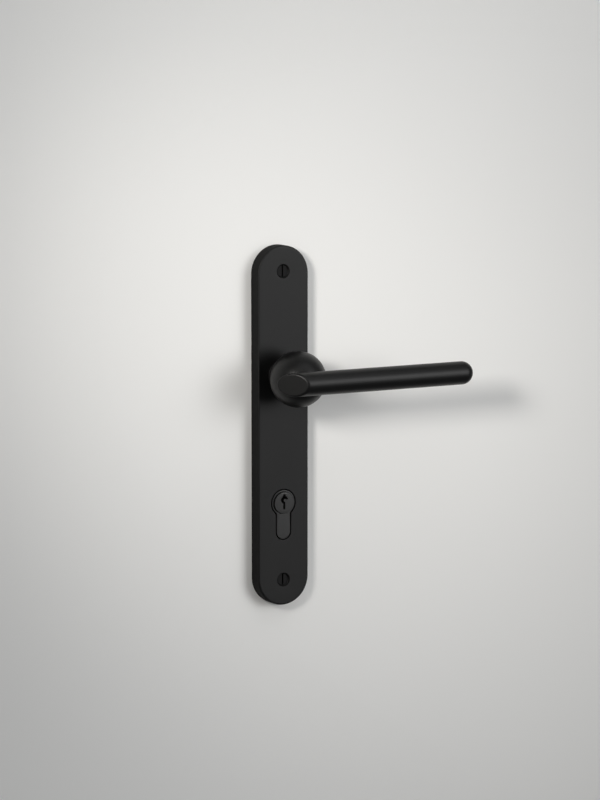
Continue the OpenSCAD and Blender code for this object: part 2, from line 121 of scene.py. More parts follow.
# lock: heights of the forend's openings and screws, and the bolts
FOREND_T = 3.0
OPENING_HALF = 6
LATCH_OPENING = (8.8, 27.2)
BOLT_OPENING = (-72.2, -43.8)
CASE_SCREWS = (32, -116)
DOOR_SCREW_REACH = 107
LATCH_Z = (latch_lo[2] + latch_hi[2]) / 2
LATCH_BACK = -39.0
BOLT_H = 28.0
BOLT_THROW = 14.0


# ---------------------------------------------------------------- mesh building
def outside(p):
    """Local (across, up, out of the door) on the outside to the frame."""
    return Vector((p[0], -p[2], p[1])) * MM


def inside(p):
    """Local (across, up, out of the door) on the inside to the frame."""
    return Vector((p[0], DOOR + p[2], p[1])) * MM


def straight(p):
    """Local axes that are the frame's own."""
    return Vector(p) * MM


def edge_view(p):
    """Local (across the door, up, out of the forend) to the frame."""
    return Vector((fore_lo[0] - p[2], p[0], p[1])) * MM


def side_view(p):
    """Local (x, z, y) to the frame."""
    return Vector((p[0], p[2], p[1])) * MM


SIDES = (("outside", outside), ("inside", inside))


def circle(cx, cy, n=64):
    """A round outline, given its radius."""
    def points(r):
        return [(cx + r * math.cos(2 * math.pi * k / n), cy + r * math.sin(2 * math.pi * k / n))
                for k in range(n)]
    return points


def capsule(cx, cy, w, h, n=48):
    """A stadium outline, which offset g makes larger all round."""
    def points(g):
        r, s = w / 2 + g, (h - w) / 2
        top = [(cx + r * math.cos(math.pi * k / n), cy + s + r * math.sin(math.pi * k / n))
               for k in range(n + 1)]
        return top + [(2 * cx - x, 2 * cy - y) for x, y in top]
    return points


def box_outline(x0, y0, x1, y1, r, n=6):
    """A rectangle with round corners, which offset g makes larger all round."""
    def points(g):
        rr = max(r + g, 0.01)
        out = []
        for cx, cy, a in ((x1 - r, y1 - r, 0), (x0 + r, y1 - r, 90),
                          (x0 + r, y0 + r, 180), (x1 - r, y0 + r, 270)):
            for k in range(n + 1):
                t = math.radians(a + 90 * k / n)
                out.append((cx + rr * math.cos(t), cy + rr * math.sin(t)))
        return out
    return points


def euro(n=40):
    """The cylinder's profile: round part, straight leg, round end."""
    def points(g):
        r, w = EURO_R + g, LEG_R + g
        drop = math.degrees(math.asin(w / r))
        out = []
        for k in range(n + 1):
            t = math.radians(-90 + drop + (360 - 2 * drop) * k / n)
            out.append((r * math.cos(t), CYL_Z + r * math.sin(t)))
        for k in range(17):
            t = math.radians(180 + 180 * k / 16)
            out.append((w * math.cos(t), LEG_END + w * math.sin(t)))
        return out
    return points


def fixed(pts):
    """An outline that no offset changes."""
    return lambda g: list(pts)


def loop(bm, pts, h):
    """New vertices at the points, all at height h."""
    return [bm.verts.new((x, y, h)) for x, y in pts]


def bridge(bm, a, b):
    """Quads between two loops of the same length."""
    n = len(a)
    for k in range(n):
        bm.faces.new((a[k], a[(k + 1) % n], b[(k + 1) % n], b[k]))


def wall(bm, outline, steps):
    """Loops of an outline at (offset, height) steps, joined by quads. Returns the loops."""
    loops = [loop(bm, outline(g), h) for g, h in steps]
    for a, b in zip(loops, loops[1:]):
        bridge(bm, a, b)
    return loops


def fill(bm, *loops):
    """A flat face inside one loop, or between an outer loop and its holes."""
    edges = []
    for lp in loops:
        n = len(lp)
        for k in range(n):
            e = bm.edges.get((lp[k], lp[(k + 1) % n])) or bm.edges.new((lp[k], lp[(k + 1) % n]))
            edges.append(e)
    if len(loops) == 1:
        bm.faces.new(loops[0])
    else:
        bmesh.ops.triangle_fill(bm, use_beauty=True, edges=edges)


def arc_steps(g, h, r, a0, a1, n=5):
    """Steps round a fillet of radius r with its centre at (g, h)."""
    return [(g + r * math.cos(math.radians(a0 + (a1 - a0) * k / n)),
             h + r * math.sin(math.radians(a0 + (a1 - a0) * k / n))) for k in range(n + 1)]


def even_normals(o):
    """Weighted normals, so that the flats beside a rounded edge shade flat."""
    m = o.modifiers.new("even", "WEIGHTED_NORMAL")
    m.mode = "FACE_AREA"
    m.weight = 50
    m.keep_sharp = True


def piece(name, bm, place, material, body, node=None, sharp=35.0):
    """Turns a bmesh in local millimetres into a piece that rides on a body."""
    for v in bm.verts:
        v.co = place(v.co)
    bmesh.ops.remove_doubles(bm, verts=bm.verts, dist=1e-7)
    bmesh.ops.recalc_face_normals(bm, faces=bm.faces)
    limit = math.radians(sharp)
    for f in bm.faces:
        f.smooth = True
    for e in bm.edges:
        if len(e.link_faces) == 2 and e.calc_face_angle(0) > limit:
            e.smooth = False
    me = bpy.data.meshes.new(name)
    bm.to_mesh(me)
    bm.free()
    o = bpy.data.objects.new(name, me)
    scene.collection.objects.link(o)
    me.materials.append(material)
    even_normals(o)
    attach(o, body)
    if node:
        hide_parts(*([node] if isinstance(node, str) else node))
    return o


def lathe(bm, profile, n):
    """Turns (r, z) points about local Z. An end off the axis is closed by a flat."""
    loops = []
    for r, z in profile:
        if r < 1e-6:
            loops.append([bm.verts.new((0, 0, z))])
        else:
            loops.append(loop(bm, circle(0, 0, n)(r), z))
    for a, b in zip(loops, loops[1:]):
        if len(a) == 1 or len(b) == 1:
            tip, ring = (a[0], b) if len(a) == 1 else (b[0], a)
            for k in range(len(ring)):
                bm.faces.new((tip, ring[k], ring[(k + 1) % len(ring)]))
        else:
            bridge(bm, a, b)
    for lp in (loops[0], loops[-1]):
        if len(lp) > 1:
            bm.faces.new(lp)


def cut(o, *cutters):
    """Takes cutter meshes out of a piece and removes them."""
    o.modifiers.clear()
    for c in cutters:
        m = o.modifiers.new("cut", "BOOLEAN")
        m.operation = "DIFFERENCE"
        m.solver = "EXACT"
        m.object = c
    bpy.context.view_layer.update()
    dg = bpy.context.evaluated_depsgraph_get()
    me = bpy.data.meshes.new_from_object(o.evaluated_get(dg))
    old = o.data
    o.modifiers.clear()
    o.data = me
    bpy.data.meshes.remove(old)
    for c in cutters:
        bpy.data.objects.remove(c)
    bm = bmesh.new()
    bm.from_mesh(me)
    for f in bm.faces:
        f.smooth = True
    for e in bm.edges:
        e.smooth = len(e.link_faces) == 2 and e.calc_face_angle(0) < math.radians(30)
    bm.to_mesh(me)
    bm.free()
    even_normals(o)


def cutter(place, lo, hi):
    """A box in local millimetres, as a temporary object."""
    bm = bmesh.new()
    bmesh.ops.create_cube(bm, size=1.0)
    for v in bm.verts:
        v.co = place([lo[i] + (v.co[i] + 0.5) * (hi[i] - lo[i]) for i in range(3)])
    bmesh.ops.recalc_face_normals(bm, faces=bm.faces)
    me = bpy.data.meshes.new("cutter")
    bm.to_mesh(me)
    bm.free()
    o = bpy.data.objects.new("cutter", me)
    scene.collection.objects.link(o)
    return o


# ---------------------------------------------------------------- materials
def new_material(name):
    """A material with its node tree and its shader."""
    mat = bpy.data.materials.new(name)
    mat.use_nodes = True
    nt = mat.node_tree
    bsdf = nt.nodes["Principled BSDF"]
    return mat, nt, bsdf


def noise(nt, scale, stretch, detail, rough=0.55):
    """Noise in the piece's own coordinates, drawn out by stretch."""
    tc = nt.nodes.new("ShaderNodeTexCoord")
    mp = nt.nodes.new("ShaderNodeMapping")
    mp.inputs["Scale"].default_value = stretch
    tx = nt.nodes.new("ShaderNodeTexNoise")
    tx.inputs["Scale"].default_value = scale
    tx.inputs["Detail"].default_value = detail
    tx.inputs["Roughness"].default_value = rough
    nt.links.new(tc.outputs["Object"], mp.inputs["Vector"])
    nt.links.new(mp.outputs["Vector"], tx.inputs["Vector"])
    return tx.outputs["Fac"]


def ranged(nt, value, lo, hi, src=(0.3, 0.7)):
    """A value taken from the range src to the range lo to hi."""
    mr = nt.nodes.new("ShaderNodeMapRange")
    mr.inputs["From Min"].default_value = src[0]
    mr.inputs["From Max"].default_value = src[1]
    mr.inputs["To Min"].default_value = lo
    mr.inputs["To Max"].default_value = hi
    nt.links.new(value, mr.inputs["Value"])
    return mr.outputs["Result"]


def mixed(nt, fac, a, b):
    """A colour between a and b."""
    mx = nt.nodes.new("ShaderNodeMix")
    mx.data_type = "RGBA"
    mx.inputs["A"].default_value = (*a, 1)
    mx.inputs["B"].default_value = (*b, 1)
    nt.links.new(fac, mx.inputs["Factor"])
    return mx.outputs["Result"]


def bumped(nt, bsdf, height, strength, distance):
    """Gives the shader a relief from a height."""
    b = nt.nodes.new("ShaderNodeBump")
    b.inputs["Strength"].default_value = strength
    b.inputs["Distance"].default_value = distance
    nt.links.new(height, b.inputs["Height"])
    nt.links.new(b.outputs["Normal"], bsdf.inputs["Normal"])


def surface(name, dark, light, rough, metallic, fine, stretch=(1, 1, 1), broad=60.0,
            bump=0.1, depth=2e-5, spec=0.5, side=None):
    """A finish with broad colour drift, fine grain in roughness and a fine relief.

    side is roughness added where the surface faces away from the frame's Y axis.
    """
    mat, nt, bsdf = new_material(name)
    grain = noise(nt, fine, stretch, 5.0)
    drift = noise(nt, broad, (1, 1, 1), 3.0)
    nt.links.new(mixed(nt, ranged(nt, drift, 0.0, 1.0), dark, light), bsdf.inputs["Base Color"])
    gloss = ranged(nt, grain, rough[0], rough[1])
    bsdf.inputs["Metallic"].default_value = metallic
    bsdf.inputs["Specular IOR Level"].default_value = spec
    if side is not None:
        geo = nt.nodes.new("ShaderNodeNewGeometry")
        parts = nt.nodes.new("ShaderNodeSeparateXYZ")
        size = nt.nodes.new("ShaderNodeMath")
        size.operation = "ABSOLUTE"
        nt.links.new(geo.outputs["Normal"], parts.inputs["Vector"])
        nt.links.new(parts.outputs["Y"], size.inputs[0])
        worn = nt.nodes.new("ShaderNodeMath")
        worn.operation = "ADD"
        nt.links.new(gloss, worn.inputs[0])
        nt.links.new(ranged(nt, size.outputs[0], side, 0.0, (0.3, 0.9)), worn.inputs[1])
        gloss = worn.outputs[0]
    nt.links.new(gloss, bsdf.inputs["Roughness"])
    bumped(nt, bsdf, grain, bump, depth)
    return mat


MAT = {
    "black_coat": surface("satin_black_coat", (0.0012, 0.0012, 0.0013),
                          (0.0022, 0.0022, 0.0022), (0.38, 0.44), 0.0, 2600.0, bump=0.12,
                          depth=1e-5, spec=0.30),
    "black_plate": surface("satin_black_coat_plate", (0.0012, 0.0012, 0.0013),
                           (0.0022, 0.0022, 0.0022), (0.38, 0.44), 0.0, 2600.0, bump=0.12,
                           depth=1e-5, spec=0.30, side=0.5),
    "black_cylinder": surface("satin_black_plating", (0.0085, 0.0085, 0.0085),
                              (0.012, 0.012, 0.012), (0.34, 0.42), 0.0, 1800.0,
                              (1, 0.2, 1), bump=0.10, depth=1e-5, spec=0.42),
    "black_oxide": surface("matt_black_oxide", (0.0012, 0.0012, 0.0013),
                           (0.0030, 0.0030, 0.0032), (0.50, 0.62), 0.0, 1500.0, bump=0.15,
                           depth=1e-5, spec=0.2),
    "black_nylon": surface("black_nylon", (0.004, 0.004, 0.004), (0.007, 0.007, 0.007),
                           (0.45, 0.58), 0.0, 1200.0, bump=0.15, spec=0.3),
    "stainless": surface("brushed_stainless", (0.50, 0.49, 0.47), (0.60, 0.59, 0.57),
                         (0.22, 0.42), 1.0, 900.0, (1, 1, 0.03), bump=0.25),
    "nickel_plate": surface("satin_nickel", (0.58, 0.55, 0.50), (0.68, 0.65, 0.60),
                            (0.18, 0.30), 1.0, 1400.0, (0.2, 1, 1), bump=0.12),
    "zinc_plate": surface("bright_zinc", (0.48, 0.50, 0.53), (0.64, 0.66, 0.69),
                          (0.28, 0.46), 1.0, 700.0, (1, 1, 1), broad=140.0, bump=0.2),
    "spindle_steel": surface("drawn_steel", (0.38, 0.38, 0.38), (0.50, 0.50, 0.49),
                             (0.25, 0.42), 1.0, 1500.0, (1, 0.03, 1), bump=0.25),
    "spring_steel": surface("spring_wire", (0.16, 0.16, 0.17), (0.26, 0.26, 0.28),
                            (0.26, 0.42), 1.0, 1800.0, (1, 1, 1), bump=0.2),
    "sintered": surface("sintered_metal", (0.20, 0.19, 0.17), (0.33, 0.31, 0.28),
                        (0.45, 0.65), 0.9, 3000.0, (1, 1, 1), bump=0.5, depth=3e-5),
    "brass": surface("turned_brass", (0.62, 0.42, 0.16), (0.76, 0.56, 0.27),
                     (0.20, 0.34), 1.0, 1600.0, (1, 1, 0.1), bump=0.15),
    "nylon": surface("natural_nylon", (0.66, 0.64, 0.57), (0.76, 0.74, 0.68),
                     (0.42, 0.55), 0.0, 900.0, bump=0.15, depth=3e-5),
}
slots = {s["node"]: s["material_slot"] for s in frame["record"]["subparts"]}
for name, o in nodes.items():
    for s in o.material_slots:
        s.material = MAT[slots[name]]
    if not o.material_slots:
        o.data.materials.append(MAT[slots[name]])


# ---------------------------------------------------------------- handle sets
def make_plate(side, place, hole_r, head_r):
    """The plate: rounded front edge, and holes for the neck, screws and cylinder."""
    bm = bmesh.new()
    outer = wall(bm, capsule(0, PLATE_Z, PLATE_W, PLATE_H),
                 [(-0.4, 0.0), (0.0, 0.4), (0.0, PLATE_T - EDGE_R)]
                 + arc_steps(-EDGE_R, PLATE_T - EDGE_R, EDGE_R, 0, 90, 6)[1:])
    front, back = [outer[-1]], [outer[0]]
    bush_hole = BUSH_R + 0.04
    neck = wall(bm, circle(0, 0), [(bush_hole + 0.28, PLATE_T), (bush_hole, PLATE_T - 0.28),
                                   (bush_hole, POCKET_DEPTH)])
    front.append(neck[0])
    pocket = wall(bm, circle(0, 0), [(POCKET_R, 0.0), (POCKET_R, POCKET_DEPTH)])
    back.append(pocket[0])
    fill(bm, pocket[1], neck[-1])
    for z in SCREWS:
        hole = wall(bm, circle(0, z),
                    [(head_r + 0.25, PLATE_T), (head_r + 0.06, PLATE_T - 0.08),
                     (head_r, PLATE_T - 0.25), (head_r, HEAD_TOP),
                     (hole_r, HEAD_TOP - head_r + hole_r), (hole_r, 0.0)])
        front.append(hole[0])
        back.append(hole[-1])
    cyl = wall(bm, euro(), [(EURO_GAP + 0.25, PLATE_T), (EURO_GAP + 0.06, PLATE_T - 0.08),
                            (EURO_GAP, PLATE_T - 0.3), (EURO_GAP, 0.0)])
    front.append(cyl[0])
    back.append(cyl[-1])
    half = 11.5
    for y0, y1 in ((24, 42), (46, 61), (-42, -22), (-68, -46), (-129, -115)):
        dent = wall(bm, box_outline(-half, y0, half, y1, 1.5), [(0, 0.0), (0, POCKET_DEPTH)])
        back.append(dent[0])
        fill(bm, dent[1])
    fill(bm, *front)
    fill(bm, *back)
    piece(side + "_plate_body", bm, place, MAT["black_plate"], "lock_frame",
          side + "_plate", sharp=25)


def make_ball(side, place):
    """The ball with its collar and the neck that turns in the plate."""
    join = BALL_OUT - math.sqrt(BALL_R ** 2 - COLLAR_R ** 2)
    a0 = math.degrees(math.asin((join + 0.35 - BALL_OUT) / BALL_R))
    profile = [(6.2, NECK_INNER_Z), (NECK_R - 0.2, NECK_INNER_Z), (NECK_R, NECK_INNER_Z + 0.2),
               (NECK_R, COLLAR), (COLLAR_R - 0.3, COLLAR), (COLLAR_R, COLLAR + 0.3),
               (COLLAR_R, join - 0.5), (COLLAR_R + 0.08, join - 0.1),
               (COLLAR_R + 0.25, join + 0.12)]
    steps = 60
    for k in range(steps + 1):
        t = math.radians(a0 + (90 - a0) * k / steps)
        profile.append((BALL_R * math.cos(t), BALL_OUT + BALL_R * math.sin(t)))
    profile[-1] = (0, BALL_OUT + BALL_R)
    bm = bmesh.new()
    lathe(bm, profile, 144)
    piece(side + "_ball_body", bm, place, MAT["black_coat"], "levers",
          side + "_ball", sharp=28)


def make_bar(side, place):
    """The round bar: end cut at 45 degrees with an eased rim, and a hemispherical tip."""
    n, r = 128, BAR_R
    tip = bar_hi[0] - r
    back = bar_lo[0] + r
    straight_from = 14.0
    tip_rings = 24
    ring = [(math.cos(2 * math.pi * k / n), math.sin(2 * math.pi * k / n)) for k in range(n)]
    bm = bmesh.new()

    def section(x, scale=1.0):
        return [bm.verts.new((x, r * scale * c, BAR_OUT + r * scale * s)) for c, s in ring]

    end = [bm.verts.new((back + r * s, r * c, BAR_OUT + r * s)) for c, s in ring]
    loops = [end]
    for t in (0.12, 0.3, 0.6, 1.0):
        loops.append([bm.verts.new(((back + r * s) * (1 - t) + straight_from * t, r * c,
                                    BAR_OUT + r * s)) for c, s in ring])
    for x in (40.0, 75.0, tip):
        loops.append(section(x))
    for k in range(1, tip_rings):
        t = math.radians(90 * k / tip_rings)
        loops.append(section(tip + r * math.sin(t), math.cos(t)))
    for a, b in zip(loops, loops[1:]):
        bridge(bm, a, b)
    cap = bm.verts.new((tip + r, 0, BAR_OUT))
    last = loops[-1]
    for k in range(n):
        bm.faces.new((cap, last[k], last[(k + 1) % n]))
    facet = bm.faces.new(end)
    bmesh.ops.recalc_face_normals(bm, faces=bm.faces)
    bmesh.ops.bevel(bm, geom=list(facet.edges), offset=1.25, offset_type="OFFSET", segments=7,
                    profile=0.5, affect="EDGES", clamp_overlap=False)
    piece(side + "_bar_body", bm, place, MAT["black_coat"], "levers",
          side + "_bar", sharp=60)


def slotted_head(bm, x, z, head_r, shank_r, low, bore):
    """A countersunk head at local (x, z) with its rim eased, and its shank down to low."""
    top = HEAD_TOP
    rim_r = head_r - 0.35
    cone_top = top - 0.9
    bore_end = 5.0
    steps = [(head_r - 1.0, top), (head_r - 0.65, top - 0.08), (head_r - 0.42, top - 0.3),
             (rim_r, top - 0.6), (rim_r, cone_top), (shank_r, cone_top - rim_r + shank_r),
             (shank_r, low + 0.5), (shank_r - 0.4, low)]
    loops = wall(bm, circle(x, z, 72), steps)
    fill(bm, loops[0])
    if bore:
        hole = wall(bm, circle(x, z, 72), [(bore, low), (bore, bore_end)])
        fill(bm, loops[-1], hole[0])
        fill(bm, hole[1])
    else:
        fill(bm, loops[-1])


def make_screws(name, place, head_r, shank_r, low, slot_w, node, bore=0.0):
    """The upper and the lower of the two screws, or of the nuts that they go into."""
    slot_depth = 1.1
    for k, z in enumerate(SCREWS):
        bm = bmesh.new()
        slotted_head(bm, 0, z, head_r, shank_r, low, bore)
        o = piece(name + ("_top", "_bottom")[k], bm, place, MAT["black_oxide"], "lock_frame",
                  node, sharp=30)
        cut(o, cutter(place, (-slot_w / 2, z - head_r - 1, HEAD_TOP - slot_depth),
                      (slot_w / 2, z + head_r + 1, HEAD_TOP + 1)))


def keyway():
    """The bent slot of the key round the cylinder's axis: a straight slot with a hook."""
    cx, cy, outer_r = 0.15, 2.2, 2.6
    ix, iy, inner_r = 0.6, 1.8, 1.0
    top_x0, top_x1, top_z = -0.7, 1.0, 5.6
    low_x, low_z = 0.8, -4.0
    ease = 0.3
    meet_top_right = math.degrees(math.acos((top_x1 - cx) / outer_r))
    meet_top_left = math.degrees(math.acos((top_x0 - cx) / outer_r))
    meet_low_left = 360 - math.degrees(math.acos((-low_x - cx) / outer_r))
    out = []
    for b0, b1, steps in ((0.0, meet_top_right, 10), (meet_top_left, meet_low_left, 20)):
        for k in range(steps + 1):
            t = math.radians(b0 + (b1 - b0) * k / steps)
            out.append((cx + outer_r * math.cos(t), cy + outer_r * math.sin(t)))
        if b0 == 0.0:
            out += [(top_x1, top_z), (top_x1 - ease, top_z + ease),
                    (top_x0 + ease, top_z + ease), (top_x0, top_z)]
    out += [(-low_x, low_z), (-low_x + ease, low_z - ease), (low_x - ease, low_z - ease),
            (low_x, low_z)]
    from_low = math.degrees(math.acos((low_x - ix) / inner_r))
    to_hook = math.degrees(math.asin((cy - iy) / inner_r))
    for k in range(17):
        t = math.radians(360 - from_low - (360 - from_low - to_hook) * k / 16)
        out.append((ix + inner_r * math.cos(t), iy + inner_r * math.sin(t)))
    return [(x, CYL_Z + y) for x, y in out]


def make_plug(side, place):
    """The plug that the key turns, with its keyway right through."""
    bm = bmesh.new()
    body = wall(bm, circle(0, CYL_Z, 96),
                [(FACE_R - 0.3, PROUD), (FACE_R - 0.08, PROUD - 0.09), (FACE_R, PROUD - 0.3),
                 (FACE_R, PLATE_T - 2), (PLUG_R, PLATE_T - 2), (PLUG_R, PLUG_END)])
    slot = wall(bm, fixed(keyway()), [(0, PROUD), (0, PLUG_END)])
    fill(bm, body[0], slot[0])
    fill(bm, body[-1], slot[1])
    piece(side + "_plug_body", bm, place, MAT["black_cylinder"], side + "_key_set",
          side + "_plug", sharp=30)


def make_cylinder():
    """The cylinder's two halves and the bridge that joins them below the cam."""
    for side, place in SIDES:
        bm = bmesh.new()
        outer = wall(bm, euro(), [(-0.3, PLATE_T), (-0.08, PLATE_T - 0.1), (0, PLATE_T - 0.3),
                                  (0, HALF_END)])
        hole = wall(bm, circle(0, CYL_Z, 96),
                    [(FACE_R + 0.35, PLATE_T), (FACE_R + 0.12, PLATE_T - 0.1),
                     (FACE_R + 0.06, PLATE_T - 0.3), (FACE_R + 0.06, PLATE_T - 2.05),
                     (PLUG_R + 0.03, PLATE_T - 2.05), (PLUG_R + 0.03, HALF_END)])
        fill(bm, outer[0], hole[0])
        fill(bm, outer[-1], hole[-1])
        piece("cylinder_half_" + side, bm, place, MAT["black_cylinder"], "lock_frame",
              "cylinder_body", sharp=30)
    bm = bmesh.new()
    bridge_top = LEG_END + 4
    turn = [math.radians(-180 * k / 16) for k in range(17)]
    pts = [(LEG_R, bridge_top)]
    pts += [(LEG_R * math.cos(t), LEG_END + LEG_R * math.sin(t)) for t in turn]
    pts.append((-LEG_R, bridge_top))
    loops = wall(bm, fixed(pts), [(0, MID - 5), (0, MID + 5)])
    fill(bm, loops[0])
    fill(bm, loops[1])
    piece("cylinder_bridge", bm, side_view, MAT["black_cylinder"], "lock_frame",
          "cylinder_body")


def make_bush(side, place):
    """The nylon bush that the neck turns in, with a thin rim on the plate's face."""
    bore_r = NECK_R + 0.06
    rim_top = PLATE_T + 0.35
    bm = bmesh.new()
    loops = wall(bm, circle(0, 0, 96),
                 [(bore_r, POCKET_DEPTH), (BUSH_R, POCKET_DEPTH), (BUSH_R, PLATE_T),
                  (BUSH_RIM_R - 0.1, PLATE_T), (BUSH_RIM_R, PLATE_T + 0.1),
                  (BUSH_RIM_R, rim_top - 0.1), (BUSH_RIM_R - 0.1, rim_top),
                  (NECK_R + 0.3, rim_top), (bore_r, PLATE_T + 0.1)])
    bridge(bm, loops[-1], loops[0])
    piece(side + "_bush_body", bm, place, MAT["black_nylon"], "lock_frame",
          side + "_bush")


def make_coil(name, place, path, r, body, node, n=10):
    """Round wire along a path of points in local millimetres."""
    bm = bmesh.new()
    rings = []
    pts = [Vector(p) for p in path]
    for k, p in enumerate(pts):
        t = (pts[min(k + 1, len(pts) - 1)] - pts[max(k - 1, 0)]).normalized()
        out = Vector((p.x, p.y, 0)).normalized()
        u = (out - t * out.dot(t)).normalized()
        v = t.cross(u)
        rings.append([bm.verts.new(p + (u * math.cos(a) + v * math.sin(a)) * r) for a in
                      [2 * math.pi * i / n for i in range(n)]])
    for a, b in zip(rings, rings[1:]):
        bridge(bm, a, b)
    bm.faces.new(rings[0])
    bm.faces.new(rings[-1])
    return piece(name, bm, place, MAT["spring_steel"], body, node, sharp=60)


def helix(r, z0, z1, a0, turns, per_turn=28):
    """Points of a coil about local Z, from angle a0."""
    n = int(turns * per_turn)
    return [(r * math.cos(a0 + 2 * math.pi * turns * k / n),
             r * math.sin(a0 + 2 * math.pi * turns * k / n),
             z0 + (z1 - z0) * k / n) for k in range(n + 1)]


def make_return_coil(side, place):
    """The lever's return spring: a coil between two straight legs."""
    turns = 2.15
    a0 = math.radians(-102)
    a1 = a0 + 2 * math.pi * turns
    leg = [(COIL_R * math.cos(a0), COIL_R * math.sin(a0), z) for z in (1.1, 1.6, 2.1, 2.5)]
    top = [(COIL_R * math.cos(a1), COIL_R * math.sin(a1), z) for z in (6.0, 6.6, 7.5, 8.4)]
    body = helix(COIL_R, 2.8, 5.65, a0 + 0.09, turns - 0.03)
    make_coil(side + "_return_coil", place, leg + body + top, 0.6, "lock_frame",
              side + "_return_spring")


# radius of the hole, and of the recess for the head, in each plate
SCREW_HOLES = {"outside": (2.75, 4.65), "inside": (3.8, 5.45)}
for side, place in SIDES:
    make_plate(side, place, *SCREW_HOLES[side])
    make_ball(side, place)
    make_bar(side, place)
    make_bush(side, place)
    make_plug(side, place)
    make_return_coil(side, place)
make_cylinder()
make_screws("fixing_screw", outside, SCREW_HEAD_R, 2.5, -30.0, 1.1, "fixing_screws")
make_screws("sleeve_nut", inside, 5.25, 3.6, -24.0, 1.3, "sleeve_nuts", bore=2.55)


# ---------------------------------------------------------------- lock
def make_forend():
    """The strip on the door's edge, with openings for the bolts and countersunk holes."""
    bm = bmesh.new()
    w, h = fore_hi[1] - fore_lo[1], fore_hi[2] - fore_lo[2]
    cz = (fore_hi[2] + fore_lo[2]) / 2
    outer = wall(bm, capsule(MID, cz, w, h), [(0, -FOREND_T), (0, -0.35), (-0.1, -0.1),
                                              (-0.35, 0)])
    back, front = [outer[0]], [outer[-1]]
    for z0, z1 in (LATCH_OPENING, BOLT_OPENING):
        hole = wall(bm, box_outline(MID - OPENING_HALF, z0, MID + OPENING_HALF, z1, 0.4),
                    [(0, -FOREND_T), (0, -0.2), (0.15, 0)])
        back.append(hole[0])
        front.append(hole[-1])
    holes = [(cz + DOOR_SCREW_REACH, 2.5, 4.4), (cz - DOOR_SCREW_REACH, 2.5, 4.4)]
    holes += [(z, 2.2, 4.1) for z in CASE_SCREWS] + [(CYL_SCREW_Z, 2.7, 4.7)]
    for z, r, big in holes:
        hole = wall(bm, circle(MID, z, 48), [(r, -FOREND_T), (r, r - big), (big, 0)])
        back.append(hole[0])
        front.append(hole[-1])
    fill(bm, *back)
    fill(bm, *front)
    piece("forend_strip", bm, edge_view, MAT["stainless"], "lock_frame",
          "forend")


def make_edge_screws():
    """The two screws from the forend into the case, and the one into the cylinder."""
    screws = [(z, 2.0, 3.8, -11.0, "forend_screws") for z in CASE_SCREWS]
    screws.append((CYL_SCREW_Z, 2.5, 4.4, -64.0, "cylinder_screw"))
    for k, (z, r, big, low, node) in enumerate(screws):
        bm = bmesh.new()
        loops = wall(bm, circle(MID, z, 48), [(big - 0.25, -0.2), (big, -0.35),
                                              (r, -0.35 - big + r), (r, low)])
        fill(bm, loops[0])
        fill(bm, loops[-1])
        o = piece("edge_screw_%d" % k, bm, edge_view, MAT["stainless"], "lock_frame",
                  node)
        cut(o, cutter(edge_view, (MID - 0.5, z - 6, -1.1), (MID + 0.5, z + 6, 1)))


def make_latch():
    """The latch's head with its slope, and the round shaft behind it."""
    x0, x1 = latch_lo[0], LATCH_BACK
    y0, y1 = latch_lo[1], latch_hi[1]
    bm = bmesh.new()
    pts = [(x0, y1), (x0, y1 - 3), (fore_lo[0] - 0.5, y0), (x1, y0), (x1, y1)]
    loops = [[bm.verts.new((x, y, z)) for x, y in pts] for z in (latch_lo[2], latch_hi[2])]
    bridge(bm, loops[0], loops[1])
    fill(bm, loops[0])
    fill(bm, loops[1])
    bmesh.ops.bevel(bm, geom=list(bm.edges), offset=0.5, segments=3, profile=0.5,
                    affect="EDGES")
    piece("latch_head", bm, straight, MAT["nickel_plate"], "latch",
          "latch_bolt", sharp=50)
    bm = bmesh.new()
    shaft_r, shaft_end = 3.0, -42.5
    loops = wall(bm, circle(MID, LATCH_Z, 48),
                 [(shaft_r, -22.0), (shaft_r, shaft_end + 0.4), (shaft_r - 0.4, shaft_end)])
    fill(bm, loops[0])
    fill(bm, loops[-1])
    piece("latch_shaft", bm, edge_view, MAT["nickel_plate"], "latch",
          "latch_bolt")


def make_deadbolt():
    """The deadbolt's head, and its tail with detent notches, cam lugs and a guide slot."""
    z0, z1 = bolt_hi[2] - BOLT_H, bolt_hi[2]
    y0, y1 = bolt_lo[1], bolt_hi[1]
    head_l = 28.0
    bm = bmesh.new()
    loops = wall(bm, box_outline(y0, z0, y1, z1, 0.6),
                 [(-0.4, -head_l), (0, 0.4 - head_l), (0, -0.5), (-0.15, -0.15), (-0.5, 0)])
    fill(bm, loops[0])
    fill(bm, loops[-1])
    piece("deadbolt_head", bm, edge_view, MAT["nickel_plate"], "deadbolt",
          "deadbolt")
    zc = (z0 + z1) / 2
    x0, x1, half = -33, 25, 8
    half_t = 2.5
    first_notch = -10.0
    pts = [(x0, zc + half)]
    for x in (first_notch, first_notch + BOLT_THROW):
        pts += [(x - 1.8, zc + half), (x - 0.6, zc + half - 1.2), (x + 0.6, zc + half - 1.2),
                (x + 1.8, zc + half)]
    pts += [(x1, zc + half), (x1, zc - half)]
    for x in (20.1, -6.1):
        pts += [(x + 2.5, zc - half), (x + 2.5, zc - half - 9), (x - 2.5, zc - half - 9),
                (x - 2.5, zc - half)]
    pts.append((x0, zc - half))
    slot_x0, slot_x1, slot_r = 5, 19, 2.6
    turn = [math.radians(-90 + 180 * k / 12) for k in range(13)]
    slot = [(slot_x1 + slot_r * math.cos(t), zc + slot_r * math.sin(t)) for t in turn]
    slot += [(slot_x0 + slot_x1 - x, 2 * zc - y) for x, y in slot]
    bm = bmesh.new()
    outer = wall(bm, fixed(pts), [(0, MID - half_t), (0, MID + half_t)])
    inner = wall(bm, fixed(slot), [(0, MID - half_t), (0, MID + half_t)])
    fill(bm, outer[0], inner[0])
    fill(bm, outer[1], inner[1])
    piece("deadbolt_tail", bm, side_view, MAT["zinc_plate"], "deadbolt",
          "deadbolt")


